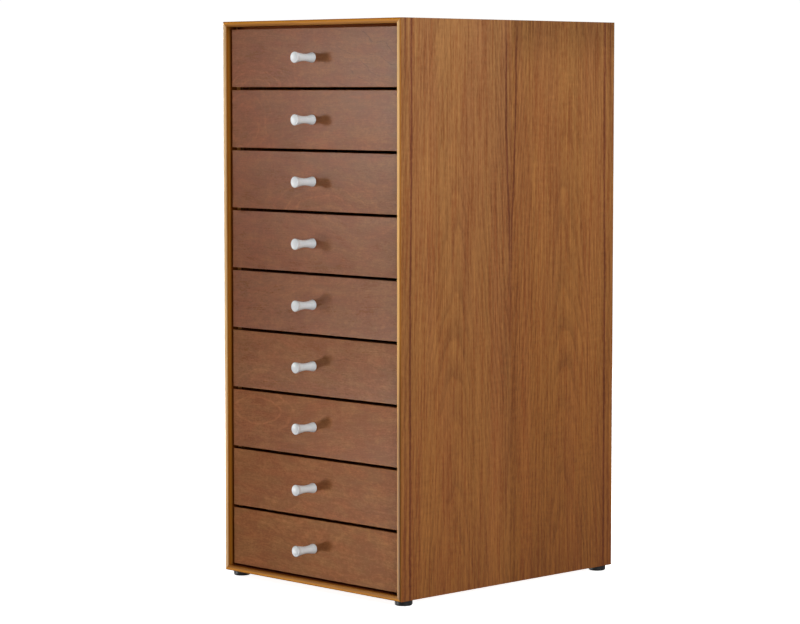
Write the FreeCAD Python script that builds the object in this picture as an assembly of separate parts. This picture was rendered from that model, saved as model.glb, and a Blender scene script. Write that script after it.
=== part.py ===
import FreeCAD, Part
import math
import os

# Nine-drawer table-top chest for pencils, paper and small supplies.
# Millimetres.  +Z up, X is the width, the drawers open towards -Y.
# Origin: centre of the overall footprint, on the surface the feet stand on.

V = FreeCAD.Vector

# ---------------------------------------------------------------- dimensions
CASE_W = 283.0          # outside width of the case
CASE_D = 337.5          # outside depth of the case, front edging to back
CASE_H = 616.3          # outside height of the case, without the feet
FOOT_H = 6.1            # height of the glides under the case
PANEL_T = 12.0          # thickness of sides, top and bottom
LIP_T = 5.9             # thickness left at the front, where the panels are rebated
EDGE_T = 3.5            # depth of the solid edging on the front of the case
EDGE_R_OUT = 1.8        # rounding of the edging's outer arris
EDGE_R_IN = 1.0         # rounding of the edging's inner arris
BACK_T = 5.5            # back panel
BACK_LIP = 6.0          # wood left outside the rear rebate
BACK_GAP = 0.25         # play of the back panel in its rebate

N_DRAWERS = 9
FRONT_H = 63.85         # height of a drawer front
FRONT_GAP = 3.1         # open line between two fronts
TOP_GAP = 2.8           # open line above the first front
SIDE_GAP = 2.6          # open line left and right of the fronts
FRONT_T = 9.5           # thickness of a drawer front
FRONT_R = 0.5           # eased edges of a drawer front
RECESS = 5.8            # drawer fronts stand this far behind the edging
STOP_GAP = 0.3          # play between a closed front and the step that stops it

BOX_PLAY = 1.0          # play between a drawer box and the case, each side
SIDE_T = 10.0           # drawer sides
SIDE_H = 50.0
SIDE_Z = 6.0            # drawer side's lower edge above the front's lower edge
TONGUE_D = 5.0          # dovetail tongue on the drawer side, into the front
TONGUE_W1 = 6.4         # its width at the root
TONGUE_W2 = 8.4         # its width at the tip
TONGUE_GAP = 0.05       # glue line round the tongue
DBACK_T = 8.5           # drawer back
DBACK_DADO = 3.0        # its housing in the sides
TAIL = 5.0              # sides run on past the drawer back
DBOT_T = 3.2            # plywood drawer bottom
DBOT_Z = 6.0            # its groove above the side's lower edge
DBOT_DADO = 3.5
DBOT_GAP = 0.1

RUN_H = 8.0             # hardwood runner, height
RUN_IN = 3.0            # let into the case side
RUN_OUT = 5.6           # stands out of the case side
RUN_Z = 30.4            # runner's lower edge above the front's lower edge
RUN_Y0 = 22.0           # runner's front end behind the edging
RUN_Y1 = 330.0          # runner's rear end
GROOVE_D = 6.3          # groove in the drawer side, from its outer face
GROOVE_PLAY = 0.4       # play above and below the runner

SPLINE_T = 3.0          # loose tongue in the mitred corners
SPLINE_W = 9.0
SPLINE_C = 7.2          # its centre, in from the outer corner both ways

KNOB_L = 27.3           # pull, from the drawer front to its tip
KNOB_BORE_R = 2.05
KNOB_BORE_L = 12.0
# radius of the pull along its length
KNOB_PROFILE = [
    (0.45, 5.50), (2.4, 5.28), (5.6, 4.66), (9.6, 4.13), (13.6, 4.00),
    (17.7, 4.36), (21.6, 5.03), (24.7, 5.78), (26.2, 6.05),
]
KNOB_RIM = 0.9          # rounding at the tip
KNOB_DISH = 0.35        # hollow of the tip's face

SCREW_R = 2.0           # M4 pull screw
SCREW_HOLE_R = 2.25
SCREW_HEAD_R = 4.0
SCREW_HEAD_H = 2.4
SCREW_IN = 10.5         # length inside the pull

FOOT_R = 9.6            # glide
FOOT_ROUND = 1.8
FOOT_X = 11.2           # glide's centre in from the side
FOOT_Y_FRONT = 15.6     # and in from the front
FOOT_Y_BACK = 11.8      # and in from the back
FOOT_BORE_R = 2.15
FOOT_CB_R = 4.4
FOOT_CB_H = 2.8
FSCREW_R = 1.95
FSCREW_HEAD_R = 4.1
FSCREW_HEAD_H = 2.2
FSCREW_IN = 5.4

BSCREW_R = 1.5          # back panel screws
BSCREW_HEAD_R = 3.0
BSCREW_L = 15.5

# ------------------------------------------------------------ derived places
KNOB_PROUD = KNOB_L - RECESS
YF = -(CASE_D + KNOB_PROUD) / 2.0 + KNOB_PROUD      # front plane of the edging
YB = YF + CASE_D                                    # rear plane of the case
ZB = FOOT_H                                         # underside of the case
ZT = ZB + CASE_H                                    # top of the case
XO = CASE_W / 2.0                                   # outer face of the sides
XI = XO - PANEL_T                                   # inner face of the sides
STEP_Y = YF + RECESS + FRONT_T + STOP_GAP           # step behind the fronts
FRONT_W = CASE_W - 2 * (LIP_T + SIDE_GAP)
FY0 = YF + RECESS                                   # drawer front, outer face
FY1 = FY0 + FRONT_T                                 # drawer front, inner face
BOX_XO = XI - BOX_PLAY                              # drawer side, outer face
BOX_XI = BOX_XO - SIDE_T                            # drawer side, inner face
BOX_Y1 = YB - BACK_T - 4.0                          # rear end of the drawer sides
DBACK_Y1 = BOX_Y1 - TAIL
DBACK_Y0 = DBACK_Y1 - DBACK_T

NODES = {}


def box(x0, x1, y0, y1, z0, z1):
    return Part.makeBox(x1 - x0, y1 - y0, z1 - z0, V(x0, y0, z0))


def prism(points, direction):
    """Solid of a closed polygon pushed along a direction."""
    pts = [V(*p) for p in points]
    wire = Part.makePolygon(pts + [pts[0]])
    return Part.Face(wire).extrude(V(*direction))


def front_z(k):
    """Lower edge of drawer front k, counted 1 from the top."""
    top = ZT - LIP_T - TOP_GAP - (k - 1) * (FRONT_H + FRONT_GAP)
    return top - FRONT_H


# ------------------------------------------------------------------ the case
def side_blank():
    """Right-hand side: mitred at both ends, rebated at the front and back."""
    s = prism(
        [(XO, YF + EDGE_T, ZB), (XO, YF + EDGE_T, ZT),
         (XI, YF + EDGE_T, ZT - PANEL_T), (XI, YF + EDGE_T, ZB + PANEL_T)],
        (0, CASE_D - EDGE_T, 0),
    )
    s = s.cut(box(XI - 1, XO - LIP_T, YF, STEP_Y, ZB, ZT))
    s = s.cut(box(XI - 1, XO - BACK_LIP, YB - BACK_T, YB + 1, ZB, ZT))
    return s


def cap_blank(top):
    """Top or bottom board, made as the top and turned over for the bottom."""
    zo, zi = (ZT, ZT - PANEL_T) if top else (ZB, ZB + PANEL_T)
    zl = ZT - LIP_T if top else ZB + LIP_T
    zr = ZT - BACK_LIP if top else ZB + BACK_LIP
    s = prism(
        [(-XO, YF + EDGE_T, zo), (XO, YF + EDGE_T, zo),
         (XI, YF + EDGE_T, zi), (-XI, YF + EDGE_T, zi)],
        (0, CASE_D - EDGE_T, 0),
    )
    lo, hi = sorted((zl, zi + (-1 if top else 1)))
    s = s.cut(box(-XO, XO, YF, STEP_Y, lo, hi))
    lo, hi = sorted((zr, zi + (-1 if top else 1)))
    s = s.cut(box(-XO, XO, YB - BACK_T, YB + 1, lo, hi))
    return s


def spline_solid(sx, sz):
    """Loose tongue across one mitred corner; sx, sz pick the corner."""
    cx = sx * (XO - SPLINE_C)
    cz = ZT - SPLINE_C if sz > 0 else ZB + SPLINE_C
    a = 1 / math.sqrt(2)
    across = (sx * a, -sz * a)          # runs from one board into the other
    along = (sx * a, sz * a)            # along the mitre
    h, t = SPLINE_W / 2, SPLINE_T / 2
    y0 = YF + RUN_Y0
    pts = []
    for p, q in ((h, t), (h, -t), (-h, -t), (-h, t)):
        pts.append((cx + across[0] * p + along[0] * q, y0,
                    cz + across[1] * p + along[1] * q))
    return prism(pts, (0, RUN_Y1 - 12.0 - RUN_Y0, 0))


splines = [spline_solid(sx, sz) for sx in (-1, 1) for sz in (-1, 1)]

right = side_blank()
runner_solids = []
for k in range(1, N_DRAWERS + 1):
    z = front_z(k) + RUN_Z
    right = right.cut(box(XI - 1, XI + RUN_IN, YF + RUN_Y0, YB - BACK_T + 1, z, z + RUN_H))
    r = box(XI - RUN_OUT, XI + RUN_IN, YF + RUN_Y0, YF + RUN_Y1, z, z + RUN_H)
    nose = [e for e in r.Edges
            if abs(e.CenterOfMass.x - (XI - RUN_OUT)) < 0.01
            and abs(e.CenterOfMass.y - (YF + RUN_Y0)) < 0.01]
    r = r.makeChamfer(2.0, nose)        # lead-in at the runner's front end
    runner_solids.append(r)

# screws through the back panel
back_points = []
for k in (1, 3, 6, 8):                  # level with open lines, clear of the runners
    for sx in (-1, 1):
        back_points.append((sx * (XO - 9.0), front_z(k) - FRONT_GAP / 2))
for sx in (-1, 1):
    back_points.append((sx * CASE_W * 0.2, ZT - 9.0))
    back_points.append((sx * CASE_W * 0.2, ZB + 9.0))


def drill_back(s):
    for x, z in back_points:
        s = s.cut(Part.makeCylinder(BSCREW_R + 0.05, BSCREW_L - BACK_T + 1.0,
                                    V(x, YB - BACK_T - (BSCREW_L - BACK_T + 0.5), z), V(0, 1, 0)))
    return s


for s in splines:
    right = right.cut(s)
left = right.mirror(V(0, 0, 0), V(1, 0, 0))
right = drill_back(right)
left = drill_back(left)
top = cap_blank(True)
bottom = cap_blank(False)
for s in splines:
    top = top.cut(s)
    bottom = bottom.cut(s)
top = drill_back(top)
bottom = drill_back(bottom)

foot_points = []
for sx in (-1, 1):
    foot_points.append((sx * (XO - FOOT_X), YF + FOOT_Y_FRONT))
    foot_points.append((sx * (XO - FOOT_X), YB - FOOT_Y_BACK))
# the foot screws are short: at the front they end inside the thinner lip
for x, y in foot_points:
    pilot = Part.makeCylinder(FSCREW_R + 0.05, FSCREW_IN + 0.4, V(x, y, ZB - 0.1))
    bottom = bottom.cut(pilot)

NODES["case_left_side"] = left
NODES["case_right_side"] = right
NODES["case_top"] = top
NODES["case_bottom"] = bottom
NODES["mitre_splines"] = Part.makeCompound(splines)
NODES["runners_right"] = Part.makeCompound(runner_solids)
NODES["runners_left"] = Part.makeCompound([r.mirror(V(0, 0, 0), V(1, 0, 0)) for r in runner_solids])

# back panel with countersunk holes
bx = XO - BACK_LIP - BACK_GAP
back = box(-bx, bx, YB - BACK_T, YB, ZB + BACK_LIP + BACK_GAP, ZT - BACK_LIP - BACK_GAP)
back_screws = []
for x, z in back_points:
    back = back.cut(Part.makeCylinder(BSCREW_R + 0.1, BACK_T + 2, V(x, YB - BACK_T - 1, z), V(0, 1, 0)))
    head_h = BSCREW_HEAD_R - BSCREW_R
    back = back.cut(Part.makeCone(BSCREW_R + 0.1, BSCREW_HEAD_R + 0.2, head_h + 0.1,
                                  V(x, YB - head_h - 0.1, z), V(0, 1, 0)))
    s = Part.makeCone(BSCREW_R, BSCREW_HEAD_R, head_h, V(x, YB - head_h - 0.1, z), V(0, 1, 0))
    s = s.fuse(Part.makeCylinder(BSCREW_R, BSCREW_L - head_h - 2.5, V(x, YB - BSCREW_L + 2.4, z), V(0, 1, 0)))
    s = s.fuse(Part.makeCone(0.3, BSCREW_R, 2.5, V(x, YB - BSCREW_L - 0.1, z), V(0, 1, 0)))
    s = s.removeSplitter()
    for a, b in ((1.7, 0.45), (0.45, 1.7)):         # cross recess
        s = s.cut(box(x - a, x + a, YB - 1.1, YB + 1, z - b, z + b))
    back_screws.append(s)
NODES["case_back"] = back
NODES["back_screws"] = Part.makeCompound(back_screws)


# front edging: four mitred strips with rounded arrises
def edging_section(u_out, u_in):
    """Face in the (u, y) plane; u_out is the outer side, u_in the inner."""
    sgn = 1.0 if u_in > u_out else -1.0
    ro, ri = EDGE_R_OUT, EDGE_R_IN
    y0, y1 = YF, YF + EDGE_T
    c45 = math.cos(math.pi / 4)
    p = {
        "a": (u_out, y1), "b": (u_out, y0 + ro),
        "bm": (u_out + sgn * (ro - ro * c45), y0 + ro - ro * c45),
        "c": (u_out + sgn * ro, y0), "d": (u_in - sgn * ri, y0),
        "dm": (u_in - sgn * (ri - ri * c45), y0 + ri - ri * c45),
        "e": (u_in, y0 + ri), "f": (u_in, y1),
    }
    return p


def section_face(p, to3d):
    q = {k: to3d(*v) for k, v in p.items()}
    edges = [
        Part.LineSegment(q["a"], q["b"]).toShape(),
        Part.Arc(q["b"], q["bm"], q["c"]).toShape(),
        Part.LineSegment(q["c"], q["d"]).toShape(),
        Part.Arc(q["d"], q["dm"], q["e"]).toShape(),
        Part.LineSegment(q["e"], q["f"]).toShape(),
        Part.LineSegment(q["f"], q["a"]).toShape(),
    ]
    return Part.Face(Part.Wire(edges))


def mitre_cut_vertical(s, sx):
    """Trims an upright strip on the corner's 45 degree planes."""
    keep = prism(
        [(sx * XO, YF - 1, ZB), (sx * XO, YF - 1, ZT),
         (sx * (XO - 40), YF - 1, ZT - 40), (sx * (XO - 40), YF - 1, ZB + 40)],
        (0, EDGE_T + 2, 0))
    return s.common(keep)


def mitre_cut_level(s, top):
    zo = ZT if top else ZB
    d = -1 if top else 1
    keep = prism(
        [(-XO, YF - 1, zo), (XO, YF - 1, zo),
         (XO - 40, YF - 1, zo + d * 40), (-XO + 40, YF - 1, zo + d * 40)],
        (0, EDGE_T + 2, 0))
    return s.common(keep)


for name, sx in (("edging_left", -1), ("edging_right", 1)):
    f = section_face(edging_section(sx * XO, sx * (XO - LIP_T)), lambda u, y: V(u, y, ZB))
    NODES[name] = mitre_cut_vertical(f.extrude(V(0, 0, CASE_H)), sx)
for name, is_top in (("edging_top", True), ("edging_bottom", False)):
    zo, zi = (ZT, ZT - LIP_T) if is_top else (ZB, ZB + LIP_T)
    f = section_face(edging_section(zo, zi), lambda u, y: V(-XO, y, u))
    NODES[name] = mitre_cut_level(f.extrude(V(CASE_W, 0, 0)), is_top)

# glides and their screws
feet, foot_screws = [], []
for x, y in foot_points:
    f = Part.makeCylinder(FOOT_R, FOOT_H, V(x, y, 0))
    low = [e for e in f.Edges if abs(e.CenterOfMass.z) < 0.01 and e.Length > 20]
    f = f.makeFillet(FOOT_ROUND, low)
    f = f.cut(Part.makeCylinder(FOOT_BORE_R, FOOT_H + 2, V(x, y, -1)))
    f = f.cut(Part.makeCylinder(FOOT_CB_R, FOOT_CB_H + 1, V(x, y, -1)))
    feet.append(f)
    s = Part.makeCylinder(FSCREW_HEAD_R, FSCREW_HEAD_H, V(x, y, FOOT_CB_H - FSCREW_HEAD_H))
    rim = [e for e in s.Edges if abs(e.CenterOfMass.z - (FOOT_CB_H - FSCREW_HEAD_H)) < 0.01 and e.Length > 20]
    s = s.makeFillet(0.9, rim)
    s = s.fuse(Part.makeCylinder(FSCREW_R, FOOT_H - FOOT_CB_H + FSCREW_IN - 1.6, V(x, y, FOOT_CB_H)))
    s = s.fuse(Part.makeCone(FSCREW_R, 0.3, 1.6, V(x, y, FOOT_H + FSCREW_IN - 1.6)))
    s = s.removeSplitter()
    s = s.cut(box(x - 5, x + 5, y - 0.5, y + 0.5, -1, FOOT_CB_H - FSCREW_HEAD_H + 1.0))
    foot_screws.append(s)
NODES["feet"] = Part.makeCompound(feet)
NODES["foot_screws"] = Part.makeCompound(foot_screws)


# --------------------------------------------------------------- the drawers
def knob_solid(zc):
    """Waisted pull turned about the front's normal, with a blind bore."""
    y = lambda u: FY0 - u
    pts = [V(r, y(u), 0) for u, r in KNOB_PROFILE]
    curve = Part.BSplineCurve()
    curve.interpolate(pts)
    u0, r0 = KNOB_PROFILE[0]
    u1, r1 = KNOB_PROFILE[-1]
    c = math.cos(math.pi / 4)
    rim_r = KNOB_RIM
    tip0 = V(r1, y(u1), 0)
    tipc = V(r1 - rim_r + rim_r * c, y(KNOB_L - rim_r + rim_r * c), 0)
    tip1 = V(r1 - rim_r, y(KNOB_L), 0)
    edges = [
        Part.LineSegment(V(0, y(0), 0), V(r0 - 0.35, y(0), 0)).toShape(),
        Part.LineSegment(V(r0 - 0.35, y(0), 0), pts[0]).toShape(),
        curve.toShape(),
    ]
    if (tip0 - V(r1, y(KNOB_L - rim_r), 0)).Length > 1e-6:
        edges.append(Part.LineSegment(tip0, V(r1, y(KNOB_L - rim_r), 0)).toShape())
    edges += [
        Part.Arc(V(r1, y(KNOB_L - rim_r), 0), tipc, tip1).toShape(),
        Part.LineSegment(tip1, V(0, y(KNOB_L), 0)).toShape(),
        Part.LineSegment(V(0, y(KNOB_L), 0), V(0, y(0), 0)).toShape(),
    ]
    face = Part.Face(Part.Wire(edges))
    s = face.revolve(V(0, 0, 0), V(0, 1, 0), 360)
    rd = r1 - rim_r - 0.35              # the tip's face is very slightly hollow
    ball = (rd * rd + KNOB_DISH * KNOB_DISH) / (2 * KNOB_DISH)
    s = s.cut(Part.makeSphere(ball, V(0, y(KNOB_L - KNOB_DISH + ball), 0)))
    s = s.cut(Part.makeCylinder(KNOB_BORE_R, KNOB_BORE_L + 1, V(0, y(-1), 0), V(0, -1, 0)))
    s.translate(V(0, 0, zc))
    return s


def knob_screw(zc):
    s = Part.makeCylinder(SCREW_HEAD_R, SCREW_HEAD_H, V(0, FY1, zc), V(0, 1, 0))
    rim = [e for e in s.Edges if abs(e.CenterOfMass.y - (FY1 + SCREW_HEAD_H)) < 0.01 and e.Length > 20]
    s = s.makeFillet(1.2, rim)
    s = s.fuse(Part.makeCylinder(SCREW_R, FRONT_T + SCREW_IN, V(0, FY1, zc), V(0, -1, 0)))
    s = s.removeSplitter()
    s = s.cut(box(-5, 5, FY1 + SCREW_HEAD_H - 1.1, FY1 + SCREW_HEAD_H + 1, zc - 0.5, zc + 0.5))
    return s


def tongue(sx, gap, z0, z1):
    """Upright dovetail tongue on the front end of a drawer side."""
    xc = sx * (BOX_XO + BOX_XI) / 2
    w1, w2 = TONGUE_W1 / 2 + gap, TONGUE_W2 / 2 + gap
    y_in = FY1 - TONGUE_D - gap
    return prism([(xc - w1, FY1, z0), (xc + w1, FY1, z0), (xc + w2, y_in, z0), (xc - w2, y_in, z0)],
                 (0, 0, z1 - z0))


for k in range(1, N_DRAWERS + 1):
    z0 = front_z(k)
    zc = z0 + FRONT_H / 2
    zs0, zs1 = z0 + SIDE_Z, z0 + SIDE_Z + SIDE_H
    zb0 = zs0 + DBOT_Z
    zb1 = zb0 + DBOT_T

    front = box(-FRONT_W / 2, FRONT_W / 2, FY0, FY1, z0, z0 + FRONT_H)
    eased = [e for e in front.Edges if abs(e.CenterOfMass.y - FY0) < 0.01]
    front = front.makeFillet(FRONT_R, eased)
    for sx in (-1, 1):
        front = front.cut(tongue(sx, TONGUE_GAP, z0 - 1, zs1 + 0.2))
    front = front.cut(box(-(BOX_XI + DBOT_DADO), BOX_XI + DBOT_DADO, FY1 - DBOT_DADO, FY1 + 1,
                          zb0 - DBOT_GAP, zb1 + DBOT_GAP))
    front = front.cut(Part.makeCylinder(SCREW_HOLE_R, FRONT_T + 2, V(0, FY0 - 1, zc), V(0, 1, 0)))
    NODES["drawer_%d_front" % k] = front

    pieces = []
    for sx in (-1, 1):
        lo, hi = sorted((sx * BOX_XO, sx * BOX_XI))
        side = box(lo, hi, FY1, BOX_Y1, zs0, zs1)
        side = side.fuse(tongue(sx, 0.0, zs0, zs1)).removeSplitter()
        lo, hi = sorted((sx * (BOX_XO + 1), sx * (BOX_XO - GROOVE_D)))
        side = side.cut(box(lo, hi, FY1 + 2.0, BOX_Y1 + 1,
                            z0 + RUN_Z - GROOVE_PLAY, z0 + RUN_Z + RUN_H + GROOVE_PLAY))
        lo, hi = sorted((sx * (BOX_XI - 1), sx * (BOX_XI + DBOT_DADO)))
        # a little shorter than the tongue's reach, so the tongue stays whole
        side = side.cut(box(lo, hi, FY1 - TONGUE_D - 1, BOX_Y1 + 1, zb0 - DBOT_GAP, zb1 + DBOT_GAP))
        lo, hi = sorted((sx * (BOX_XI - 1), sx * (BOX_XI + DBACK_DADO)))
        side = side.cut(box(lo, hi, DBACK_Y0, DBACK_Y1, zb1 + DBOT_GAP - 0.01, zs1 + 1))
        pieces.append(side)
    bw = BOX_XI + DBACK_DADO - 0.05
    back_board = box(-bw, bw, DBACK_Y0 + 0.03, DBACK_Y1 - 0.03, zb1 + DBOT_GAP, zs1 - 3.0)
    upper = [e for e in back_board.Edges
             if abs(e.CenterOfMass.z - (zs1 - 3.0)) < 0.01 and e.Length > 100]
    back_board = back_board.makeFillet(1.5, upper)
    pieces.append(back_board)
    NODES["drawer_%d_box" % k] = Part.makeCompound(pieces)

    pw = BOX_XI + DBOT_DADO - 0.2
    NODES["drawer_%d_bottom" % k] = box(-pw, pw, FY1 - DBOT_DADO + 0.2, DBACK_Y1 - 0.03, zb0, zb1)
    NODES["drawer_%d_knob" % k] = knob_solid(zc)
    NODES["drawer_%d_knob_screw" % k] = knob_screw(zc)

# -------------------------------------------------------------------- output
os.makedirs("parts", exist_ok=True)
for name, shape in NODES.items():
    if not shape.isValid():
        print("INVALID", name)
    for s in shape.Solids:
        if s.Volume < 1.0:
            print("TINY", name, s.Volume)
    if len(shape.Solids) == 0:
        print("NO SOLID", name)
    shape.exportStep("parts/%s.step" % name)
print("nodes", len(NODES), "solids", sum(len(s.Solids) for s in NODES.values()))
print("YF %.3f YB %.3f ZB %.3f ZT %.3f STEP_Y %.3f FY0 %.3f FY1 %.3f" % (YF, YB, ZB, ZT, STEP_Y, FY0, FY1))
print("bottom gap %.3f" % (front_z(N_DRAWERS) - (ZB + LIP_T)))
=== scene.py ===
"""Looks, light and camera of a nine-drawer desk-top chest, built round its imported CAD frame."""

import math

import bmesh
import bpy
from mathutils import Matrix, Vector

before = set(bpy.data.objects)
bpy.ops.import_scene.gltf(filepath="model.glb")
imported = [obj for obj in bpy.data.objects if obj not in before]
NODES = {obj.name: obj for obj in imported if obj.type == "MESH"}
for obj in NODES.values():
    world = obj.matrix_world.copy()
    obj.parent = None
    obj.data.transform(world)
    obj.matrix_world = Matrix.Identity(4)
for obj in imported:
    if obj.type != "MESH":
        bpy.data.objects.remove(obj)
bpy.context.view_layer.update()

# ------------------------------------------------------------------ sizes, in mm, as the CAD part has them
TOP_Z = 622.4          # top of the case
SEAM_Y = 10.75         # the joint between the two veneer leaves of each panel
FRONT_Y = -158.0       # front plane of the edging
BACK_Y = 179.5
HALF_W = 141.5
PITCH = 66.95          # drawer to drawer
FRONT_H = 63.85
FRONT_Z1 = 549.85      # lower edge of the top drawer's front
FOOT = 6.1             # underside of the case
FACE_Y = -152.2        # plane of the drawer fronts
STEP_Y = -142.4        # the step of the rebate, behind the drawer fronts


def front_z(k):
    return FRONT_Z1 - (k - 1) * PITCH


# ------------------------------------------------------------------ a small kit for writing node materials
class Mat:
    """A Principled material whose nodes are written as expressions. Lengths inside it are millimetres."""

    def __init__(self, name, **fixed):
        self.mat = bpy.data.materials.new(name)
        self.mat.use_nodes = True
        self.nt = self.mat.node_tree
        self.nt.nodes.clear()
        out = self.nt.nodes.new("ShaderNodeOutputMaterial")
        self.bsdf = self.nt.nodes.new("ShaderNodeBsdfPrincipled")
        self.nt.links.new(self.bsdf.outputs[0], out.inputs[0])
        for key, value in fixed.items():
            self.bsdf.inputs[key.replace("_", " ")].default_value = value

    def put(self, socket, value):
        if isinstance(value, bpy.types.NodeSocket):
            self.nt.links.new(value, socket)
        elif isinstance(value, (tuple, list)) and len(value) == 3 and socket.type == "RGBA":
            socket.default_value = (*value, 1.0)
        else:
            socket.default_value = value

    def set(self, name, value):
        self.put(self.bsdf.inputs[name], value)

    def new(self, kind, **props):
        n = self.nt.nodes.new(kind)
        for k, v in props.items():
            setattr(n, k, v)
        return n

    def math(self, op, a, b=None, c=None, clamp=False):
        n = self.new("ShaderNodeMath", operation=op, use_clamp=clamp)
        for i, v in enumerate((a, b, c)):
            if v is not None:
                self.put(n.inputs[i], v)
        return n.outputs[0]

    def add(self, *a):
        r = a[0]
        for v in a[1:]:
            r = self.math("ADD", r, v)
        return r

    def sub(self, a, b):
        return self.math("SUBTRACT", a, b)

    def mul(self, *a):
        r = a[0]
        for v in a[1:]:
            r = self.math("MULTIPLY", r, v)
        return r

    def mad(self, a, b, c):
        return self.math("MULTIPLY_ADD", a, b, c)

    def div(self, a, b):
        return self.math("DIVIDE", a, b)

    def abs(self, a):
        return self.math("ABSOLUTE", a)

    def xyz(self):
        """The point on the piece, in mm in the row frame at rest."""
        tc = self.new("ShaderNodeTexCoord")
        sx = self.new("ShaderNodeSeparateXYZ")
        self.nt.links.new(tc.outputs["Object"], sx.inputs[0])
        return [self.mul(o, 1000.0) for o in sx.outputs]

    def vec(self, x, y, z):
        n = self.new("ShaderNodeCombineXYZ")
        for i, v in enumerate((x, y, z)):
            self.put(n.inputs[i], v)
        return n.outputs[0]

    def noise(self, v, detail=2.0, rough=0.5, warp=0.0, scale=1.0):
        n = self.new("ShaderNodeTexNoise", noise_dimensions="3D")
        self.put(n.inputs["Vector"], v)
        n.inputs["Scale"].default_value = scale
        n.inputs["Detail"].default_value = detail
        n.inputs["Roughness"].default_value = rough
        n.inputs["Distortion"].default_value = warp
        return n.outputs[0]

    def voronoi(self, v, feature="F1", rand=1.0, out="Distance"):
        n = self.new("ShaderNodeTexVoronoi", feature=feature)
        self.put(n.inputs["Vector"], v)
        n.inputs["Scale"].default_value = 1.0
        n.inputs["Randomness"].default_value = rand
        return n.outputs[out]

    def ramp(self, v, a, b, lo=0.0, hi=1.0, smooth=True):
        """v goes from a to b as the result goes from lo to hi, and stays there outside."""
        n = self.new("ShaderNodeMapRange", interpolation_type="SMOOTHSTEP" if smooth else "LINEAR", clamp=True)
        for i, x in enumerate((v, a, b, lo, hi)):
            self.put(n.inputs[i], x)
        return n.outputs[0]

    def line(self, u, centre, half_width):
        """1 on a line, falling to 0 at half_width from it."""
        return self.ramp(self.abs(self.sub(u, centre)), 0.0, half_width, 1.0, 0.0)

    def curve(self, v, points):
        """A smooth curve through (x, y) points, both from 0 to 1."""
        n = self.new("ShaderNodeFloatCurve")
        c = n.mapping.curves[0]
        c.points[0].location, c.points[1].location = points[0], points[-1]
        for p in points[1:-1]:
            c.points.new(*p)
        n.mapping.update()
        self.put(n.inputs["Value"], v)
        return n.outputs[0]

    def mix(self, f, a, b, blend="MIX"):
        n = self.new("ShaderNodeMix", data_type="RGBA", blend_type=blend, clamp_factor=True)
        self.put(n.inputs[0], f)
        self.put(n.inputs[6], a)
        self.put(n.inputs[7], b)
        return n.outputs[2]

    def scale(self, colour, f):
        n = self.new("ShaderNodeVectorMath", operation="SCALE")
        self.put(n.inputs[0], colour)
        self.put(n.inputs["Scale"], f)
        return n.outputs[0]

    def bump(self, height, mm, strength=1.0, normal=None):
        """height is 0 to 1, and mm the relief it stands for."""
        n = self.new("ShaderNodeBump")
        n.inputs["Strength"].default_value = strength
        n.inputs["Distance"].default_value = mm / 1000.0
        self.put(n.inputs["Height"], height)
        if normal is not None:
            self.put(n.inputs["Normal"], normal)
        return n.outputs[0]


def paint(names, mat):
    """Puts the material on every slot of these CAD nodes."""
    for name in names:
        for s in NODES[name].material_slots:
            s.material = mat.mat


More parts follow.
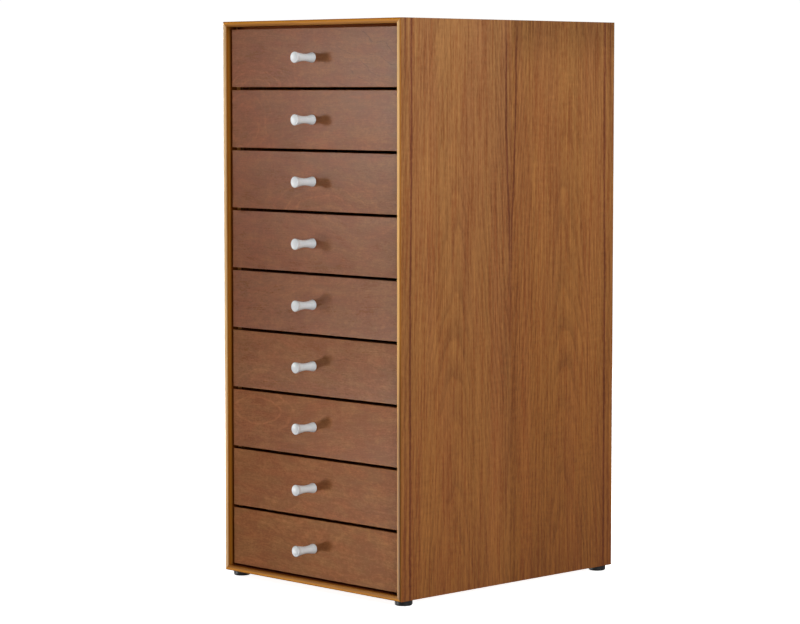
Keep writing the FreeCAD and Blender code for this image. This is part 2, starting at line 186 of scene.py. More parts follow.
# ------------------------------------------------------------------ veneer of the case
def veneer_figure(m, along, seed, streaks, tone, back=False):
    """Two book-matched leaves of plain-sliced veneer, joined at SEAM_Y, with the grain along z or x. The back's joint is at x 0."""
    x, y, z = m.xyz()
    side = m.add(x, 0.0) if back else m.sub(y, SEAM_Y)
    t = m.sub(TOP_Z, z) if along == "z" else m.add(x, 330.0 + seed * 7.0)     # mm down from the top
    u0 = m.abs(side)                             # mm from the joint, the same on both leaves
    leaf = m.math("GREATER_THAN", side, 0.0)     # one leaf is turned over; its colour is painted a little darker, and on the side panels warmer with less blue and darker along the top, as painted shade and a painted lack of sheen
    # the figure wanders a little from side to side as it runs
    wander = m.sub(m.noise(m.vec(seed, m.div(t, 150.0), m.div(u0, 90.0)), 1.0), 0.5)
    u = m.mad(wander, 3.2, u0)

    # cathedral arches: open hyperbolas centred in each leaf, their peaks a third of the way down
    warp = m.sub(m.noise(m.vec(m.div(u, 34.0), m.div(t, 190.0), seed + 3.1), 2.0), 0.5)
    du = m.div(m.sub(u, 87.0), 5.2)
    hyp = m.math("SQRT", m.mad(du, du, 30.0))
    phi = m.add(m.div(m.sub(t, 170.0), 46.0), m.mul(hyp, -1.0), m.mul(warp, 3.4))
    saw = m.math("FRACT", m.add(phi, 60.0))
    ring = m.mul(m.ramp(saw, 0.15, 0.86), m.ramp(saw, 0.88, 1.0, 1.0, 0.0))
    patchy = m.noise(m.vec(m.div(u, 45.0), m.div(t, 120.0), seed + 9.4), 1.0)
    ring = m.mul(ring, m.ramp(patchy, 0.34, 0.66, 0.25, 1.0))

    # fibre: broad bands, streaks, fine lines of two lengths, and hair lines
    wide = m.sub(m.noise(m.vec(m.div(u, 26.0), m.div(t, 420.0), seed + 1.7), 2.0, 0.55), 0.5)
    mid = m.sub(m.noise(m.vec(m.div(u, 6.0), m.div(t, 150.0), seed + 5.2), 3.0, 0.62), 0.5)
    fine = m.sub(m.noise(m.vec(m.div(side, 2.0), m.div(t, 75.0), seed + 7.7), 2.0, 0.6), 0.5)
    short = m.sub(m.noise(m.vec(m.div(side, 1.7), m.div(t, 8.0), seed + 14.9), 2.0, 0.6), 0.5)
    hair = m.sub(m.noise(m.vec(m.div(side, 0.62), m.div(t, 11.0), seed + 2.9), 2.0, 0.6), 0.5)
    # open pores: short dark dashes, seen close
    pore = m.ramp(m.voronoi(m.vec(m.div(side, 0.42), m.div(t, 5.5), seed + 4.4)), 0.12, 0.30, 1.0, 0.0)
    pore = m.mul(pore, m.ramp(m.noise(m.vec(m.div(side, 3.1), m.div(t, 60.0), seed + 8.8), 1.0), 0.42, 0.6))
    # a faint ripple across the grain
    ripple = m.sub(m.noise(m.vec(m.div(side, 16.0), m.div(t, 3.4), seed + 6.1), 1.0), 0.5)
    ripple = m.mul(ripple, m.ramp(m.noise(m.vec(m.div(side, 30.0), m.div(t, 80.0), seed + 6.6), 1.0), 0.4, 0.62))

    tones = m.add(
        1.0,
        m.mul(wide, 0.36), m.mul(mid, 0.27), m.mul(fine, 0.92), m.mul(short, 0.55), m.mul(hair, 0.50),
        m.mul(ripple, 0.24), m.mul(ring, -0.10), m.mul(pore, -0.16), 0.010,
    )
    gold, rose, deep = (0.345, 0.146, 0.0462), (0.331, 0.130, 0.0447), (0.150, 0.046, 0.022)
    hue = m.noise(m.vec(m.div(u, 22.0), m.div(t, 240.0), seed + 11.3), 3.0, 0.5)
    hue = m.add(hue, m.mul(fine, -0.60), m.mul(short, -0.20))
    col = m.mix(m.ramp(hue, 0.34, 0.66), gold, rose)
    # the dark fibres are redder
    col = m.mix(1.0, col, m.mix(m.ramp(m.add(fine, m.mul(short, 0.6), m.mul(mid, 0.5)), -0.20, 0.04), (1.03, 0.895, 0.84), (1.0, 1.025, 1.035)), "MULTIPLY")
    col = m.mix(m.mul(ring, 0.15), col, deep)

    if streaks:
        # gum lines: a pair by the joint that draw together, and one near each outer edge
        tn = m.div(t, TOP_Z)
        a_at = m.mul(m.curve(tn, [(0.0, 0.68), (0.12, 0.64), (0.24, 0.44), (0.33, 0.17), (0.385, 0.0), (1.0, 0.0)]), 10.0)
        shake = m.mul(m.sub(m.noise(m.vec(m.div(t, 16.0), seed, 0.5), 3.0, 0.6), 0.5), 2.2)
        torn = m.ramp(m.noise(m.vec(m.div(side, 1.3), m.div(t, 7.0), seed + 20.0), 2.0, 0.6), 0.30, 0.56, 0.60, 1.0)
        a_str = m.curve(tn, [(0.0, 0.32), (0.03, 0.62), (0.08, 0.97), (0.32, 1.0), (0.42, 0.70), (0.50, 0.20), (0.62, 0.0), (1.0, 0.0)])
        a = m.mul(m.line(m.add(u0, shake, m.mul(leaf, 1.6), -2.2), a_at, 2.6), a_str, torn)
        b_at = m.add(152.9, m.ramp(t, 150.0, 330.0, 0.0, 1.7), shake)
        b = m.mul(m.line(u0, b_at, 2.7), torn, m.mad(m.noise(m.vec(m.div(t, 40.0), 3.0, seed), 1.0), 0.5, 0.84))
        c_str = m.curve(tn, [(0.0, 0.95), (0.08, 0.7), (0.13, 0.25), (0.45, 0.18), (0.62, 0.45), (1.0, 0.6)])
        c = m.mul(m.line(u0, m.add(162.0, m.mul(shake, 1.2)), 2.5), c_str, torn)
        seam = m.mul(m.line(side, 0.0, 0.55), 0.35)
        lines = m.math("MAXIMUM", m.math("MAXIMUM", a, b), m.math("MAXIMUM", c, seam))
        col = m.mix(lines, col, (0.165, 0.044, 0.020))
        # a paler golden band behind the pair, and a redder one before it
        band = m.mul(m.line(side, 45.0, 17.0), m.ramp(t, 30.0, 110.0), m.ramp(t, 260.0, 380.0, 1.0, 0.0))
        tones = m.mad(band, 0.09, tones)
        flush = m.mul(m.line(side, -14.0, 20.0), m.ramp(t, 150.0, 260.0, 1.0, 0.0))
        tones = m.mad(flush, -0.07, tones)
        # a smoky band by the joint in the lower half
        smoke = m.mul(m.ramp(u0, 4.0, 24.0, 1.0, 0.0), m.ramp(t, 260.0, 420.0))
        tones = m.mad(smoke, -0.11, tones)
        # darker toward the floor, and the back leaf darker in its lower part: partly painted shade for the light
        # falling off downward
        tones = m.mul(tones, m.ramp(t, 0.0, 620.0, 1.10, 0.86, False))
        tones = m.mad(m.mul(leaf, m.ramp(t, 330.0, 600.0)), -0.08, tones)
        # redder and deeper toward the floor: partly the veneer's own colour, partly painted shade and a painted sheen
        # that is strongest at the top
        col = m.mix(1.0, col, m.mix(m.ramp(t, 0.0, 620.0, 0.0, 1.0, False), (1.0, 1.055, 1.13), (1.0, 0.84, 0.56)), "MULTIPLY")
    if streaks:
        # painted shade along the top of the back leaf, and a painted lack of sheen: that leaf is warmer, with less blue
        tones = m.mad(m.mul(leaf, m.ramp(t, 0.0, 60.0, 1.0, 0.0)), -0.26, tones)
        col = m.mix(leaf, col, (1.0, 0.955, 0.85), "MULTIPLY")
    col = m.scale(col, m.mul(tones, m.mad(leaf, -0.025, 1.0 * tone)))
    rough = m.add(0.40, m.mul(fine, 0.14), m.mul(pore, 0.16))
    relief = m.add(m.mul(fine, 0.5), m.mul(hair, 0.5), m.mul(pore, -0.8), 0.9)
    return col, rough, relief


def veneer(name, along="z", seed=0.0, streaks=True, tone=1.0, inner=None, back=False):
    """inner is (axis, a, b, origin): from a to b mm from the origin along the axis it goes over to a dark face, painted
    shade for the inside of the case seen through the gap.
    """
    m = Mat(name, Roughness=0.42, Specular_IOR_Level=0.16)
    col, rough, relief = veneer_figure(m, along, seed, streaks, tone, back)
    if inner:
        p = dict(zip("xyz", m.xyz()))
        # painted shade: the inside face, seen through the gap, is painted near-black brown
        inside = m.ramp(m.abs(m.sub(p[inner[0]], inner[3])), inner[1], inner[2])
        col = m.mix(m.mul(inside, 0.65), col, (0.060, 0.019, 0.005))
        rough = m.mad(inside, 0.5, rough)
    if inner:
        _, py, _ = m.xyz()
        # painted shade: the rebate in front of the step, seen through the gap by the edging, is painted dark brown
        rebate = m.mul(m.ramp(m.abs(m.sub(p[inner[0]], inner[3])), 4.9, 5.5), m.ramp(py, STEP_Y + 0.2, STEP_Y + 0.4, 1.0, 0.0))
        col = m.mix(rebate, col, (0.20, 0.045, 0.008))
        rough = m.mad(rebate, 0.5, rough)
    if streaks:
        # the rebate behind the edging: painted shade along its side, darkest deepest in; bare pale wood on its step,
        # pushed near full brightness as a partly painted highlight where light comes through the gaps
        px, py, _ = m.xyz()
        depth = m.sub(HALF_W, m.abs(px))
        side_of_rebate = m.mul(m.ramp(depth, 5.2, 5.7), m.ramp(py, STEP_Y - 0.5, STEP_Y - 0.2, 1.0, 0.0))
        col = m.mix(side_of_rebate, col, m.mix(m.ramp(py, FACE_Y - 1.8, FACE_Y + 1.6), (0.36, 0.135, 0.013), (0.20, 0.050, 0.003)))
        rough = m.mad(side_of_rebate, 0.5, rough)
        # partly painted highlight: the step is pale wood near full brightness, for the lit spots seen through the gaps
        step = m.mul(m.ramp(depth, 6.0, 6.2), m.ramp(py, STEP_Y + 0.1, STEP_Y + 0.3, 1.0, 0.0))
        col = m.mix(step, col, (1.0, 0.50, 0.15))
    m.set("Base Color", col)
    m.set("Roughness", rough)
    m.set("Normal", m.bump(relief, 0.045))
    return m


# ------------------------------------------------------------------ solid timber edging
def edging(name, along, seed, veneer_seed):
    """Varnished timber. The flat of its front is painted pale, partly a painted highlight, brightest on the vertical
    strips; the recess is painted dark as painted shade. The panel's veneer laps its outer face.
    """
    m = Mat(name, Roughness=0.32, Specular_IOR_Level=0.10 if along == "z" else 0.04)
    x, y, z = m.xyz()
    t, a, b = (z, x, y) if along == "z" else (x, z, y)
    wide = m.sub(m.noise(m.vec(m.div(a, 9.0), m.div(b, 9.0), m.div(t, 210.0)), 2.0, 0.5), 0.5)
    fine = m.sub(m.noise(m.vec(m.add(m.div(a, 1.1), seed), m.div(b, 1.1), m.div(t, 34.0)), 3.0, 0.6), 0.5)
    hair = m.sub(m.noise(m.vec(m.add(m.div(a, 0.35), seed), m.div(b, 0.35), m.div(t, 8.0)), 2.0, 0.6), 0.5)
    hue = m.noise(m.vec(m.div(a, 3.0), m.add(m.div(b, 3.0), seed), m.div(t, 120.0)), 2.0)
    down = m.sub(TOP_Z, z)
    if along == "z":
        out = m.sub(HALF_W, m.abs(x))                        # mm in from the outer face
        if "left" in name:
            across, face, low = m.add(x, HALF_W), ((1.00, 0.665, 0.330), (1.00, 0.625, 0.285)), (1.0, 0.89, 0.83)
            # painted shade: the left strip darker toward its top and bottom
            painted_shade_along = m.mul(m.ramp(down, 20.0, 110.0, 0.80, 1.0), m.ramp(down, 500.0, 590.0, 1.0, 0.90))
        else:
            across, face, low = m.sub(x, HALF_W - 5.9), ((0.98, 0.580, 0.200), (0.88, 0.480, 0.145)), (1.0, 0.84, 0.70)
            # painted shade: the right strip darker toward its top and much darker in its lower part
            painted_shade_along = m.mul(m.ramp(down, 20.0, 110.0, 0.86, 1.0), m.ramp(down, 330.0, 470.0, 1.0, 0.70))
        # the pale band along the flat is partly a painted highlight; on the right strip it narrows in its lower part
        flat = m.mul(m.ramp(across, -0.2, 0.7), m.ramp(across, 3.6, 6.6, 1.0, 0.0) if "left" in name else m.ramp(m.add(across, m.ramp(down, 330.0, 470.0, 0.0, 1.1)), 2.6, 5.2, 1.0, 0.0))
    else:
        out = down if "top" in name else m.sub(z, FOOT)
        across, face, painted_shade_along = m.sub(out, 0.6), ((0.72, 0.290, 0.030), (0.64, 0.238, 0.020)), 1.0
        # the pale band along the flat is partly a painted highlight
        flat = m.mul(m.ramp(across, -0.2, 0.5), m.ramp(across, 1.4, 4.2, 1.0, 0.0))
    amber = m.mix(m.ramp(hue, 0.35, 0.65), (0.40, 0.155, 0.024), (0.33, 0.118, 0.015))
    pale = m.scale(m.mix(m.ramp(hue, 0.35, 0.65), *face), painted_shade_along)
    if along == "z":
        # painted lack of sheen: the lower part of the vertical strips has less green and blue
        pale = m.mix(m.ramp(down, 330.0, 470.0), pale, m.mix(1.0, pale, low, "MULTIPLY"))
    if "right" in name:
        # painted shade: the outer part of the right strip darker in its lower part
        amber = m.scale(amber, m.ramp(down, 290.0, 430.0, 1.0, 0.52))
    flat = m.mul(flat, m.ramp(y, FRONT_Y + 0.25, FRONT_Y + 1.1, 1.0, 0.0))
    # painted shade: the recess behind the front is painted dark amber, and paler paint deeper in makes up for the light
    # that falls off there
    recess = m.mul(m.ramp(y, FRONT_Y + 0.8, FRONT_Y + 2.4), m.ramp(out, 0.4, 1.2))
    deep = m.mul(m.ramp(y, FRONT_Y + 1.8, FRONT_Y + 4.6), m.ramp(out, 0.4, 1.2))
    col = m.mix(flat, amber, pale)
    col = m.mix(m.mul(recess, 0.92), col, (0.300, 0.096, 0.007))
    col = m.mix(m.mul(deep, 0.9), col, (0.52, 0.190, 0.015))
    col = m.scale(col, m.add(1.0, m.mul(wide, 0.3), m.mul(fine, 0.42), m.mul(hair, 0.25)))
    rough, relief = m.add(m.mul(fine, 0.12), m.mul(recess, 0.5), 0.34), m.add(m.mul(fine, 0.6), m.mul(hair, 0.4), 0.5)
    lap = m.mul(m.ramp(out, 0.25, 0.75, 1.0, 0.0), m.ramp(y, FRONT_Y + 0.6, FRONT_Y + 1.4))
    v_col, v_rough, v_relief = veneer_figure(m, along, veneer_seed, along == "z", 1.0)
    m.set("Base Color", m.mix(lap, col, v_col))
    m.set("Roughness", rough)
    m.set("Normal", m.bump(relief, 0.03))
    return m


# ------------------------------------------------------------------ drawer fronts
# growth figure of each board, as seen from in front: (x, height, half width, half height, lines, strength)
FIGURE = {
    1: (-92.0, -6.0, 38.0, 22.0, 2.6, 0.62), 2: (-112.0, 24.0, 30.0, 30.0, 2.4, 0.40), 3: (20.0, -8.0, 60.0, 30.0, 3.4, 0.48),
    4: (60.0, 74.0, 70.0, 30.0, 2.5, 0.30), 5: (-70.0, 70.0, 60.0, 26.0, 2.4, 0.30), 6: (-78.0, -14.0, 46.0, 26.0, 2.8, 0.45),
    7: (-92.0, 43.0, 39.0, 15.5, 1.9, 0.62), 8: (30.0, -20.0, 80.0, 34.0, 2.6, 0.30), 9: (-40.0, 84.0, 70.0, 34.0, 2.4, 0.28),
}
# dark slanting lines of each board: (slope, spacing in mm, from x, strength)
SLANT = {1: (0.40, 17.0, 20.0, 1.0), 3: (0.16, 23.0, 60.0, 0.45), 6: (0.10, 19.0, -20.0, 0.45), 8: (-0.12, 26.0, 30.0, 0.40)}


def front_wood(name, k, tone_and_light_lr, slope, sheen, green):
    """A close-grained red-brown board. Each drawer is its own board, so the seed, tone and figure differ; the tone also
    carries painted light.
    """
    m = Mat(name, Roughness=0.29, Specular_IOR_Level=sheen)
    x, y, z = m.xyz()
    seed = 3.7 * k
    h = m.sub(z, front_z(k))
    bend = m.sub(m.noise(m.vec(m.div(x, 120.0), m.div(h, 60.0), seed), 1.0), 0.5)
    g = m.mad(bend, 16.0, m.add(h, m.mul(x, slope)))
    cloud = m.sub(m.noise(m.vec(m.div(x, 34.0), m.div(g, 17.0), seed + 1.3), 2.0, 0.55), 0.5)
    mid = m.sub(m.noise(m.vec(m.div(x, 60.0), m.div(g, 5.0), seed + 2.1), 3.0, 0.6), 0.5)
    blot = m.sub(m.noise(m.vec(m.div(x, 7.5), m.div(g, 4.2), seed + 8.4), 2.0, 0.55), 0.5)
    fine = m.sub(m.noise(m.vec(m.div(x, 16.0), m.div(g, 1.15), seed + 3.9), 3.0, 0.62), 0.5)
    fleck = m.sub(m.noise(m.vec(m.div(x, 3.0), m.div(g, 1.7), seed + 7.1), 2.0, 0.6), 0.5)
    hair = m.sub(m.noise(m.vec(m.div(x, 5.0), m.div(g, 0.42), seed + 4.5), 2.0, 0.6), 0.5)
    curl = m.sub(m.noise(m.vec(m.div(x, 6.5), m.div(h, 30.0), seed + 5.5), 2.0, 0.5), 0.5)
    pore = m.ramp(m.voronoi(m.vec(m.div(x, 2.4), m.div(g, 0.30), seed)), 0.10, 0.26, 1.0, 0.0)
    # growth rings: thin paler lines round the figure's centre
    cx, ch, hw, hh, lines, strength = FIGURE[k]
    dx, dh = m.div(m.sub(x, cx), hw), m.div(m.sub(h, ch), hh)
    dist = m.math("SQRT", m.add(m.mul(dx, dx), m.mul(dh, dh)))
    dist = m.add(dist, m.mul(m.sub(m.noise(m.vec(m.div(x, 22.0), m.div(h, 14.0), seed + 9.9), 2.0), 0.5), 0.38))
    saw = m.math("FRACT", m.mul(dist, lines))
    ring = m.mul(m.ramp(saw, 0.62, 0.86), m.ramp(saw, 0.86, 1.0, 1.0, 0.0), m.ramp(dist, 1.1, 2.1, 1.0, 0.0), m.ramp(dist, 0.3, 0.7))
    ring = m.mul(ring, m.ramp(m.noise(m.vec(m.div(x, 9.0), m.div(h, 9.0), seed + 12.0), 1.0), 0.34, 0.62, 0.35, 1.0), strength)
    # a few slanting darker lines on some of the boards
    split = 0.0
    if k in SLANT:
        lean, gap, start, much = SLANT[k]
        sway = m.sub(m.noise(m.vec(m.div(x, 46.0), m.div(h, 22.0), seed + 17.0), 2.0), 0.5)
        split = m.math("FRACT", m.div(m.add(m.mul(x, lean), h, m.mul(sway, 26.0), 200.0), gap))
        split = m.mul(m.ramp(split, 0.0, 0.035), m.ramp(split, 0.035, 0.09, 1.0, 0.0), m.ramp(x, start, start + 45.0))
        split = m.mul(split, m.ramp(m.noise(m.vec(m.div(x, 24.0), m.div(h, 12.0), seed + 15.0), 2.0), 0.44, 0.58), much)
    hue = m.add(m.noise(m.vec(m.div(x, 34.0), m.div(g, 12.0), seed + 6.0), 2.0), m.mul(blot, 0.25))
    col = m.mix(m.ramp(hue, 0.34, 0.66), (0.252, 0.079 * green, 0.0305), (0.256, 0.091 * green, 0.0350))
    # painted sheen: every board is paler and bluer toward its right end and redder at its left, the upper boards most
    painted_sheen_ends = ((1.0, 0.90, 0.79), (1.0, 1.11, 1.13)) if k <= 5 else ((1.0, 0.98, 0.96), (1.0, 1.05, 1.10))
    col = m.mix(1.0, col, m.mix(m.ramp(x, -110.0, 120.0, 0.0, 1.0, False), *painted_sheen_ends), "MULTIPLY")
    grain = m.add(
        m.mul(cloud, 0.46), m.mul(mid, 0.50), m.mul(blot, 0.50), m.mul(fine, 0.62), m.mul(fleck, 0.76),
        m.mul(hair, 0.34), m.mul(curl, 0.20), m.mul(pore, -0.06),
    )
    grain = m.add(m.math("MAXIMUM", grain, -0.11), m.mul(ring, 0.60), m.mul(split, -0.42))
    # partly painted light: the board is brighter toward its right end
    tones = m.mul(m.add(1.0, grain), m.ramp(x, -110.0, 120.0, tone_and_light_lr[0], tone_and_light_lr[1], False))
    # painted shade: the edges behind the arris are painted darker, so the gaps read dark
    edge = m.ramp(y, FACE_Y + 0.7, FACE_Y + 1.5, 1.0, 0.42)
    m.set("Base Color", m.scale(col, m.mul(tones, edge)))
    m.set("Roughness", m.add(0.29, m.mul(fine, 0.08), m.mul(cloud, 0.08), m.mul(fleck, 0.05), m.ramp(y, FACE_Y + 0.5, FACE_Y + 1.0, 0.0, 0.65)))
    m.set("Normal", m.bump(m.add(m.mul(fine, 0.5), m.mul(hair, 0.5), m.mul(pore, -0.5), 0.7), 0.03))
    return m


# ------------------------------------------------------------------ inside timber and boards
def plain_wood(name, light, dark, along, across, seed, rough=0.5, relief=0.04):
    """Pale timber or ply: grain along one axis, on all faces."""
    m = Mat(name, Roughness=rough)
    p = dict(zip("xyz", m.xyz()))
    t = p[along]
    a, b = [p[c] for c in "xyz" if c != along]
    wide = m.noise(m.vec(m.add(m.div(a, across * 6), seed), m.div(b, across * 6), m.div(t, 260.0)), 3.0, 0.55, 0.4)
    fine = m.sub(m.noise(m.vec(m.add(m.div(a, across), seed), m.div(b, across), m.div(t, 38.0)), 3.0, 0.6), 0.5)
    hair = m.sub(m.noise(m.vec(m.add(m.div(a, across * 0.3), seed), m.div(b, across * 0.3), m.div(t, 7.0)), 2.0), 0.5)
    col = m.mix(m.ramp(wide, 0.36, 0.66), light, dark)
    m.set("Base Color", m.scale(col, m.add(1.0, m.mul(fine, 0.40), m.mul(hair, 0.22))))
    m.set("Roughness", m.mad(fine, 0.16, rough))
    m.set("Normal", m.bump(m.add(m.mul(fine, 0.6), m.mul(hair, 0.4), 0.5), relief))
    return m


# ------------------------------------------------------------------ enamel, steel and black glides
def enamel(name):
    m = Mat(name, Roughness=0.32)
    x, y, z = m.xyz()
    blush = m.noise(m.vec(m.div(x, 7.0), m.div(y, 7.0), m.div(z, 7.0)), 3.0, 0.5)
    peel = m.noise(m.vec(m.div(x, 1.6), m.div(y, 1.6), m.div(z, 1.6)), 2.0, 0.5)
    grit = m.noise(m.vec(m.div(x, 0.25), m.div(y, 0.25), m.div(z, 0.25)), 2.0, 0.6)
    # painted light: the tip is a shaded copy of the enamel, darker on the lower knobs, and the stem is a lighter,
    # cooler copy
    tip = m.scale(m.mix(m.ramp(blush, 0.35, 0.65), (0.75, 0.76, 0.765), (0.70, 0.715, 0.72)), m.ramp(z, 60.0, 590.0, 0.90, 1.06))
    stem = m.mix(m.ramp(blush, 0.35, 0.65), (0.840, 0.900, 0.925), (0.795, 0.860, 0.890))
    col = m.mix(m.ramp(y, FACE_Y - 25.5, FACE_Y - 22.5), tip, stem)
    m.set("Base Color", m.scale(col, m.mad(m.sub(grit, 0.5), 0.06, 1.0)))
    m.set("Roughness", m.ramp(peel, 0.3, 0.7, 0.27, 0.42))
    m.set("Normal", m.bump(m.mad(grit, 0.25, peel), 0.02))
    return m


def glide(name):
    m = Mat(name, Roughness=0.4, Specular_IOR_Level=0.35)
    x, y, z = m.xyz()
    n1 = m.noise(m.vec(m.div(x, 2.2), m.div(y, 2.2), m.div(z, 2.2)), 3.0, 0.5)
    n2 = m.noise(m.vec(m.div(x, 0.3), m.div(y, 0.3), m.div(z, 0.3)), 2.0, 0.6)
    scuff = m.ramp(z, 0.0, 1.4, 1.0, 0.0)
    col = m.mix(m.ramp(n1, 0.35, 0.65), (0.008, 0.008, 0.009), (0.016, 0.016, 0.018))
    col = m.mix(m.mul(scuff, n2, 0.6), col, (0.06, 0.06, 0.06))
    m.set("Base Color", col)
    m.set("Roughness", m.add(m.ramp(n1, 0.3, 0.7, 0.34, 0.50), m.mul(scuff, 0.2)))
    m.set("Normal", m.bump(m.mad(n2, 0.3, n1), 0.02))
    return m


def steel(name):
    m = Mat(name, Roughness=0.3, Metallic=1.0)
    x, y, z = m.xyz()
    n1 = m.noise(m.vec(m.div(x, 1.5), m.div(y, 1.5), m.div(z, 1.5)), 3.0, 0.6)
    n2 = m.noise(m.vec(m.div(x, 0.2), m.div(y, 0.2), m.div(z, 0.2)), 2.0, 0.6)
    m.set("Base Color", m.mix(m.ramp(n1, 0.35, 0.65), (0.60, 0.59, 0.56), (0.48, 0.47, 0.44)))
    m.set("Roughness", m.ramp(n1, 0.3, 0.7, 0.24, 0.42))
    m.set("Normal", m.bump(m.mad(n2, 0.4, n1), 0.015))
    return m


paint(["case_right_side"], veneer("case_veneer_right", "z", 0.0))
paint(["case_left_side"], veneer("case_veneer_left", "z", 21.0))
paint(["case_top"], veneer("case_veneer_top", "x", 43.0, False, 1.0, ("z", 10.5, 11.7, TOP_Z)))
paint(["case_bottom"], veneer("case_veneer_bottom", "x", 57.0, False, 0.92, ("z", 10.5, 11.7, FOOT)))
paint(["case_back"], veneer("back_veneer", "z", 71.0, False, 0.95, None, True))
paint(["edging_left"], edging("edging_wood_left", "z", 1.0, 21.0))
paint(["edging_right"], edging("edging_wood_right", "z", 6.0, 0.0))
paint(["edging_top"], edging("edging_wood_top", "x", 11.0, 43.0))
paint(["edging_bottom"], edging("edging_wood_bottom", "x", 16.0, 57.0))
paint(["mitre_splines"], plain_wood("spline_wood", (0.36, 0.15, 0.06), (0.28, 0.11, 0.045), "y", 1.2, 4.0))
# each board's tone at its left and right end: partly its own tone, partly painted light, brighter to the right and on
# the lower boards
BOARD_TONE_AND_LIGHT = [(1.02, 1.16), (0.98, 1.17), (0.96, 1.08), (0.95, 1.13), (0.94, 1.15), (1.06, 1.23), (1.12, 1.35), (1.18, 1.36), (1.18, 1.42)]
SHEEN = [0.084, 0.088, 0.114, 0.160, 0.178, 0.090, 0.040, 0.020, 0.014]
GREEN = [1.02, 1.02, 1.03, 1.02, 1.03, 1.08, 1.07, 1.09, 1.12]
SLOPE = [0.05, -0.04, 0.03, 0.06, -0.05, 0.02, -0.06, 0.04, 0.03]
for k in range(1, 10):
    paint([f"drawer_{k}_front"], front_wood(f"front_wood_{k}", k, BOARD_TONE_AND_LIGHT[k - 1], SLOPE[k - 1], SHEEN[k - 1], GREEN[k - 1]))
box_wood = plain_wood("box_wood", (0.62, 0.46, 0.29), (0.54, 0.38, 0.22), "y", 1.6, 2.0)
ply = plain_wood("plywood", (0.60, 0.45, 0.29), (0.52, 0.36, 0.21), "x", 2.2, 8.0, 0.55)
runner = plain_wood("runner_wood", (0.52, 0.36, 0.20), (0.44, 0.29, 0.15), "y", 1.2, 5.0, 0.45)
white, zinc, black = enamel("pull_enamel"), steel("screw_steel"), glide("glide_black")
paint(["runners_left", "runners_right"], runner)
paint(["feet"], black)
paint(["foot_screws", "back_screws"], zinc)
for k in range(1, 10):
    paint([f"drawer_{k}_box"], box_wood)
    paint([f"drawer_{k}_bottom"], ply)
    paint([f"drawer_{k}_knob"], white)
    paint([f"drawer_{k}_knob_screw"], zinc)


# ------------------------------------------------------------------ floor, backdrop and light
def disc(name, radius, z, parts=96):
    me = bpy.data.meshes.new(name)
    bm = bmesh.new()
    ring = [bm.verts.new((radius * math.cos(2 * math.pi * i / parts), radius * math.sin(2 * math.pi * i / parts), z)) for i in range(parts)]
    bm.faces.new(ring)
    bm.to_mesh(me)
    bm.free()
    o = bpy.data.objects.new(name, me)
    bpy.context.scene.collection.objects.link(o)
    return o


def dome(name, radius):
    me = bpy.data.meshes.new(name)
    bm = bmesh.new()
    bmesh.ops.create_icosphere(bm, subdivisions=4, radius=radius)
    bmesh.ops.reverse_faces(bm, faces=bm.faces)
    bm.to_mesh(me)
    bm.free()
    o = bpy.data.objects.new(name, me)
    bpy.context.scene.collection.objects.link(o)
    return o


def camera_only(o):
    o.visible_diffuse = o.visible_glossy = o.visible_transmission = False
    o.visible_volume_scatter = o.visible_shadow = False


def glow(name, albedo, emission, near=None):
    """Paper that glows a little, so that it shows white. near is (radius, emission) round the middle."""
    mat = bpy.data.materials.new(name)
    mat.use_nodes = True
    nt = mat.node_tree
    b = nt.nodes["Principled BSDF"]
    b.inputs["Base Color"].default_value = (albedo, albedo, albedo, 1)
    b.inputs["Roughness"].default_value = 1.0
    b.inputs["Specular IOR Level"].default_value = 0.0
    b.inputs["Emission Color"].default_value = (1, 1, 1, 1)
    b.inputs["Emission Strength"].default_value = emission
    if near:
        tc = nt.nodes.new("ShaderNodeTexCoord")
        ln = nt.nodes.new("ShaderNodeVectorMath")
        ln.operation = "LENGTH"
        mr = nt.nodes.new("ShaderNodeMapRange")
        mr.interpolation_type = "SMOOTHSTEP"
        nt.links.new(tc.outputs["Object"], ln.inputs[0])
        nt.links.new(ln.outputs["Value"], mr.inputs[0])
        mr.inputs[1].default_value, mr.inputs[2].default_value = near[0], near[0] * 2.2
        mr.inputs[3].default_value, mr.inputs[4].default_value = near[1], emission
        nt.links.new(mr.outputs[0], b.inputs["Emission Strength"])
    return mat


floor = disc("floor", 15.0, 0.0)
floor.data.materials.append(glow("floor_paper", 0.8, 1.02, (0.20, 0.93)))
camera_only(floor)
backdrop = dome("backdrop", 15.5)
backdrop.data.materials.append(glow("backdrop_paper", 0.0, 1.02))
camera_only(backdrop)

world = bpy.data.worlds.new("studio")
bpy.context.scene.world = world
world.use_nodes = True
wt = world.node_tree
wt.nodes.clear()
w_out = wt.nodes.new("ShaderNodeOutputWorld")
w_bg = wt.nodes.new("ShaderNodeBackground")
w_tc = wt.nodes.new("ShaderNodeTexCoord")
w_sx = wt.nodes.new("ShaderNodeSeparateXYZ")
w_cr = wt.nodes.new("ShaderNodeValToRGB")
w_mr = wt.nodes.new("ShaderNodeMapRange")
wt.links.new(w_tc.outputs["Generated"], w_sx.inputs[0])
wt.links.new(w_sx.outputs[2], w_mr.inputs[0])
w_mr.inputs[1].default_value, w_mr.inputs[2].default_value = -1.0, 1.0
wt.links.new(w_mr.outputs[0], w_cr.inputs[0])
STOPS = [(0.0, 0.20), (0.26, 0.20), (0.32, 0.52), (0.44, 0.50), (0.48, 0.16), (0.60, 0.10), (1.0, 0.12)]
el = w_cr.color_ramp.elements
while len(el) < len(STOPS):
    el.new(0.5)
for e, (p, v) in zip(el, STOPS):
    e.position, e.color = p, (v, v, v, 1.0)
wt.links.new(w_cr.outputs[0], w_bg.inputs[0])
w_bg.inputs[1].default_value = 1.0
wt.links.new(w_bg.outputs[0], w_out.inputs[0])


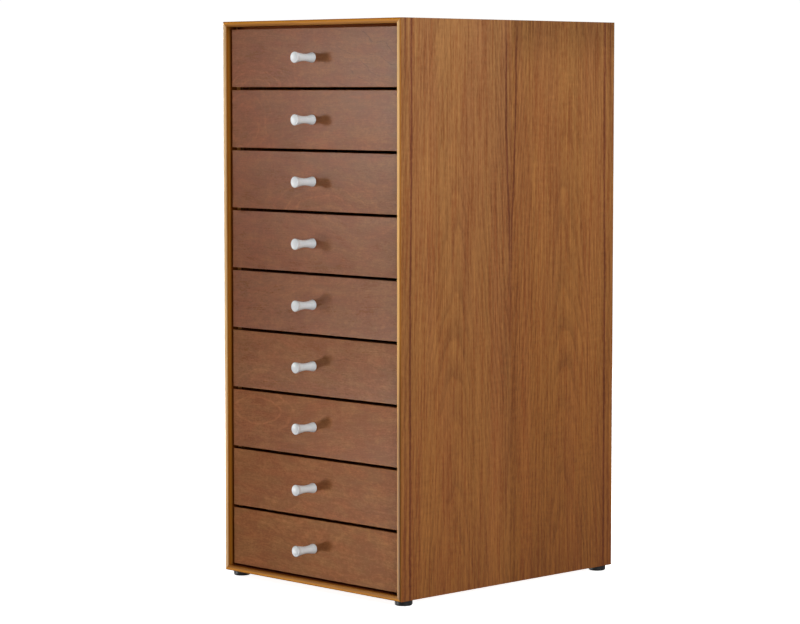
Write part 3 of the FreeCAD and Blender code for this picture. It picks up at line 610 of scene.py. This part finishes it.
def softbox(name, at, aim, size, power, spread=180.0, colour=(1, 1, 1)):
    light = bpy.data.lights.new(name, "AREA")
    light.shape = "RECTANGLE"
    light.size, light.size_y = size
    light.energy = power
    light.color = colour
    light.spread = math.radians(spread)
    o = bpy.data.objects.new(name, light)
    bpy.context.scene.collection.objects.link(o)
    o.location = at
    o.rotation_mode = "QUATERNION"
    o.rotation_quaternion = (Vector(aim) - Vector(at)).to_track_quat("-Z", "Y")
    o.visible_camera = False
    return o


AIM = (0.0, -0.152, 0.0)


def around(azimuth, distance, height):
    """A place at that azimuth from straight in front, positive to the right."""
    a = math.radians(azimuth)
    return (distance * math.sin(a), AIM[1] - distance * math.cos(a), height)


# key, from the left: one beam level with the upper drawers, one rising from below for the others
softbox("key_high", around(-38, 2.0, 0.57), (0.03, -0.152, 0.57), (0.48, 0.26), 0.356, 24.0)
softbox("key_low", around(-38, 2.0, -0.25), (0.09, -0.152, 0.13), (0.48, 0.26), 0.515, 28.0)
# a tall strip at the left for the arrises
softbox("left_strip", around(-97, 2.0, 0.30), (-0.14, -0.1, 0.30), (0.25, 1.2), 29.0)
# the right side: one soft box high in front, one level with the case, one further back, and the table
softbox("right_high", (1.75, -0.6, 1.3), (0.1, 0.0, 0.31), (1.0, 0.8), 11.3)
softbox("right_low", (1.85, -0.7, 0.5), (0.1, 0.0, 0.31), (0.8, 0.6), 6.2)
softbox("right_back", (2.0, -0.1, 0.9), (0.1, 0.0, 0.31), (1.0, 0.8), 8.0)
softbox("table_glow_right", (1.15, -0.2, -0.02), (1.15, -0.2, 1.0), (1.9, 1.9), 1.0)
# top, back and left, which face away from the camera
softbox("top", (0.0, 0.55, 1.90), (0.0, 0.0, 0.62), (0.8, 0.8), 15.0)
softbox("back_left", (-1.3, 1.8, 0.80), (0.0, 0.0, 0.35), (1.0, 1.0), 26.0)

# ------------------------------------------------------------------ camera
cam = bpy.data.objects.new("camera", bpy.data.cameras.new("camera"))
bpy.context.scene.collection.objects.link(cam)
forward = Vector((-0.711219, 0.698360, -0.080380)).normalized()
right = forward.cross(Vector((0, 0, 1))).normalized()
up = right.cross(forward)
m = Matrix((right, up, -forward)).transposed().to_4x4()
m.translation = Vector((2.209261, -2.189184, 0.548342))
cam.matrix_world = m
cam.data.sensor_width = 36.0
cam.data.lens = 124.687
cam.data.clip_start, cam.data.clip_end = 0.05, 100.0
bpy.context.scene.camera = cam
bpy.context.scene.view_settings.view_transform = "Standard"
